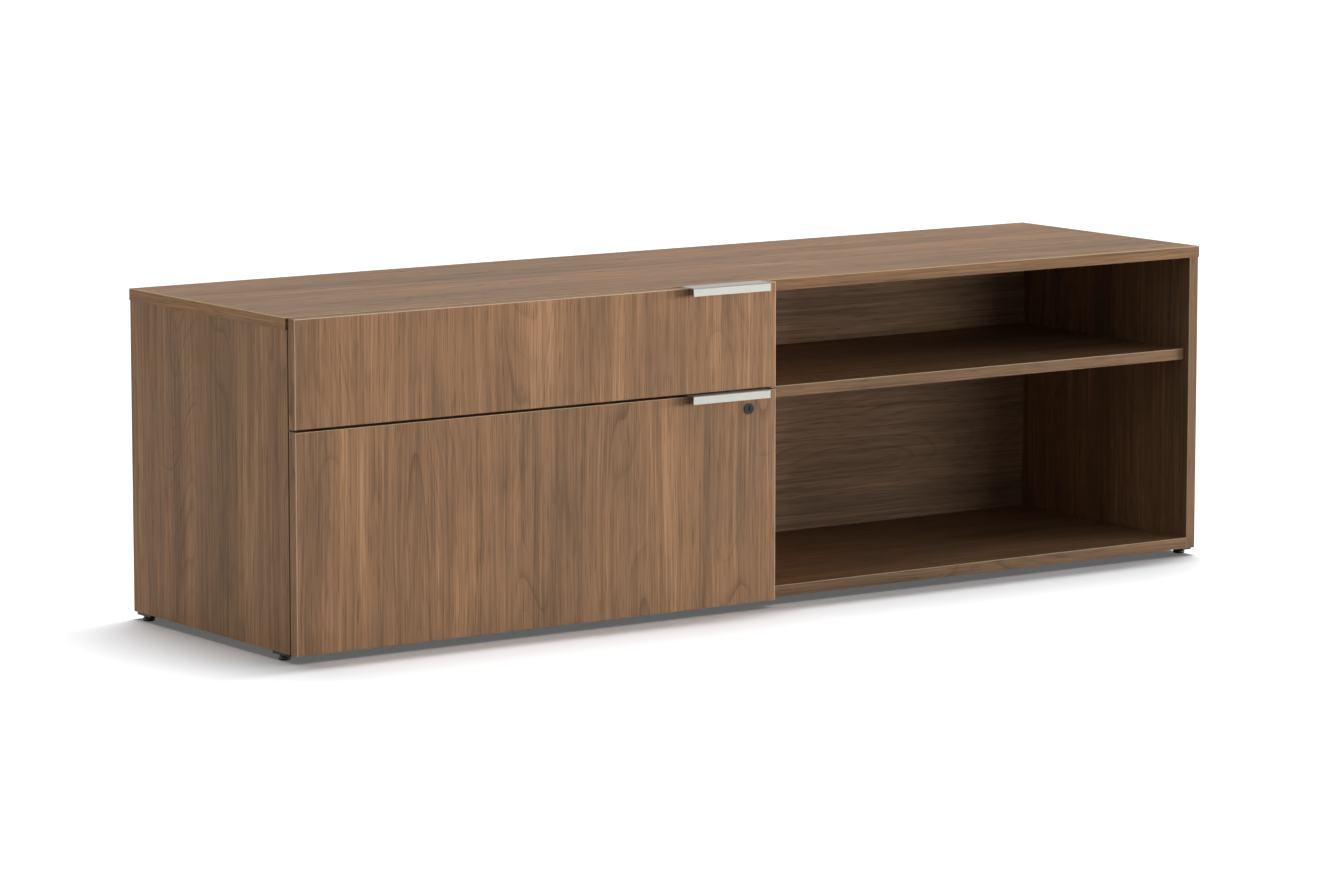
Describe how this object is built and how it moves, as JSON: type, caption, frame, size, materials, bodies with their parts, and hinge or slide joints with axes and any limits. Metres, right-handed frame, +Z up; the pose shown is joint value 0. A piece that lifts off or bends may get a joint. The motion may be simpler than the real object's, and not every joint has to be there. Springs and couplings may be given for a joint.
{
  "type": "credenza",
  "caption": "Low walnut laminate credenza with a box drawer over a locking file drawer, an open bay with a shelf, edge pulls and levelling glides.",
  "frame": {"origin": "on the floor, under the middle of the whole piece with its drawer pulls", "axes": "+Z up, +X along the length with the drawers at the -X end, drawer fronts face -Y"},
  "size_m": [1.8288, 0.5242, 0.5385],
  "materials": {
    "walnut_laminate": "satin walnut grain laminate on board, eased edges",
    "drawer_board": "satin maple grain drawer board",
    "tongue_wood": "bare hardwood strip",
    "pull_aluminium": "satin anodised, folded strip",
    "slide_steel": "zinc plated, rolled strip",
    "cage_steel": "bright steel balls in a plated cage",
    "glide_plastic": "black, moulded",
    "insert_zinc": "dull zinc sleeve",
    "bumper_rubber": "soft dark pad",
    "rail_steel": "plated flat bar",
    "lock_black": "satin black plated",
    "cam_steel": "plated, stamped",
    "pin_steel": "nickel plated"
  },
  "bodies": {
    "case": {"bottom_panel": "walnut_laminate", "box_left_cabinet_member": "slide_steel", "box_right_cabinet_member": "slide_steel", "case_tongues": "tongue_wood", "center_divider": "walnut_laminate", "file_left_cabinet_member": "slide_steel", "file_right_cabinet_member": "slide_steel", "glide_inserts": "insert_zinc", "left_back_panel": "walnut_laminate", "left_end_panel": "walnut_laminate", "lock_rail": "walnut_laminate", "lock_strike": "cam_steel", "right_back_panel": "walnut_laminate", "right_end_panel": "walnut_laminate", "shelf": "walnut_laminate", "shelf_pins": "pin_steel", "top_panel": "walnut_laminate"},
    "box_drawer": {"box_drawer_back": "drawer_board", "box_drawer_bottom": "drawer_board", "box_drawer_bumpers": "bumper_rubber", "box_drawer_front": "walnut_laminate", "box_drawer_inner_front": "drawer_board", "box_drawer_left_side": "drawer_board", "box_drawer_pull": "pull_aluminium", "box_drawer_right_side": "drawer_board", "box_left_drawer_member": "slide_steel", "box_right_drawer_member": "slide_steel"},
    "box_middle_members": {"box_left_middle_member": "slide_steel", "box_right_middle_member": "slide_steel"},
    "box_outer_cages": {"box_outer_ball_cages": "cage_steel"},
    "box_inner_cages": {"box_inner_ball_cages": "cage_steel"},
    "file_drawer": {"file_drawer_back": "drawer_board", "file_drawer_bottom": "drawer_board", "file_drawer_bumpers": "bumper_rubber", "file_drawer_front": "walnut_laminate", "file_drawer_inner_front": "drawer_board", "file_drawer_left_side": "drawer_board", "file_drawer_pull": "pull_aluminium", "file_drawer_right_side": "drawer_board", "file_left_drawer_member": "slide_steel", "file_right_drawer_member": "slide_steel", "folder_rails": "rail_steel", "lock_housing": "lock_black", "lock_nut": "cam_steel"},
    "file_middle_members": {"file_left_middle_member": "slide_steel", "file_right_middle_member": "slide_steel"},
    "file_outer_cages": {"file_outer_ball_cages": "cage_steel"},
    "file_inner_cages": {"file_inner_ball_cages": "cage_steel"},
    "lock": {"cam_screw": "cam_steel", "lock_cam": "cam_steel", "lock_plug": "lock_black"},
    "front_left_glide": {"front_left_glide": "glide_plastic"},
    "front_right_glide": {"front_right_glide": "glide_plastic"},
    "rear_left_glide": {"rear_left_glide": "glide_plastic"},
    "rear_right_glide": {"rear_right_glide": "glide_plastic"}
  },
  "joints": [
    {"name": "box_drawer_slide", "type": "slide", "parent": "case", "child": "box_drawer", "axis": [0, -1, 0], "range_m": [0, 0.4064]},
    {"name": "box_middle_members_slide", "type": "slide", "parent": "case", "child": "box_middle_members", "axis": [0, -1, 0], "range_m": [0, 0.2032]},
    {"name": "box_outer_cages_slide", "type": "slide", "parent": "case", "child": "box_outer_cages", "axis": [0, -1, 0], "range_m": [0, 0.1016]},
    {"name": "box_inner_cages_slide", "type": "slide", "parent": "case", "child": "box_inner_cages", "axis": [0, -1, 0], "range_m": [0, 0.3048]},
    {"name": "file_drawer_slide", "type": "slide", "parent": "case", "child": "file_drawer", "axis": [0, -1, 0], "range_m": [0, 0.4064]},
    {"name": "file_middle_members_slide", "type": "slide", "parent": "case", "child": "file_middle_members", "axis": [0, -1, 0], "range_m": [0, 0.2032]},
    {"name": "file_outer_cages_slide", "type": "slide", "parent": "case", "child": "file_outer_cages", "axis": [0, -1, 0], "range_m": [0, 0.1016]},
    {"name": "file_inner_cages_slide", "type": "slide", "parent": "case", "child": "file_inner_cages", "axis": [0, -1, 0], "range_m": [0, 0.3048]},
    {"name": "lock_turn", "type": "hinge", "parent": "file_drawer", "child": "lock", "pos_m": [-0.0544, -0.235, 0.333], "axis": [0, 1, 0], "range_deg": [0, 90]},
    {"name": "front_left_glide_turn", "type": "hinge", "parent": "case", "child": "front_left_glide", "pos_m": [-0.90328, -0.19387, 0.0127], "axis": [0, 0, 1], "continuous": true},
    {"name": "front_right_glide_turn", "type": "hinge", "parent": "case", "child": "front_right_glide", "pos_m": [0.90328, -0.19387, 0.0127], "axis": [0, 0, 1], "continuous": true},
    {"name": "rear_left_glide_turn", "type": "hinge", "parent": "case", "child": "rear_left_glide", "pos_m": [-0.90328, 0.23162, 0.0127], "axis": [0, 0, 1], "continuous": true},
    {"name": "rear_right_glide_turn", "type": "hinge", "parent": "case", "child": "rear_right_glide", "pos_m": [0.90328, 0.23162, 0.0127], "axis": [0, 0, 1], "continuous": true}
  ],
  "couplings": [
    {"joint": "box_middle_members_slide", "follows": "box_drawer_slide", "ratio": 0.5},
    {"joint": "box_outer_cages_slide", "follows": "box_drawer_slide", "ratio": 0.25},
    {"joint": "box_inner_cages_slide", "follows": "box_drawer_slide", "ratio": 0.75},
    {"joint": "file_middle_members_slide", "follows": "file_drawer_slide", "ratio": 0.5},
    {"joint": "file_outer_cages_slide", "follows": "file_drawer_slide", "ratio": 0.25},
    {"joint": "file_inner_cages_slide", "follows": "file_drawer_slide", "ratio": 0.75}
  ]
}
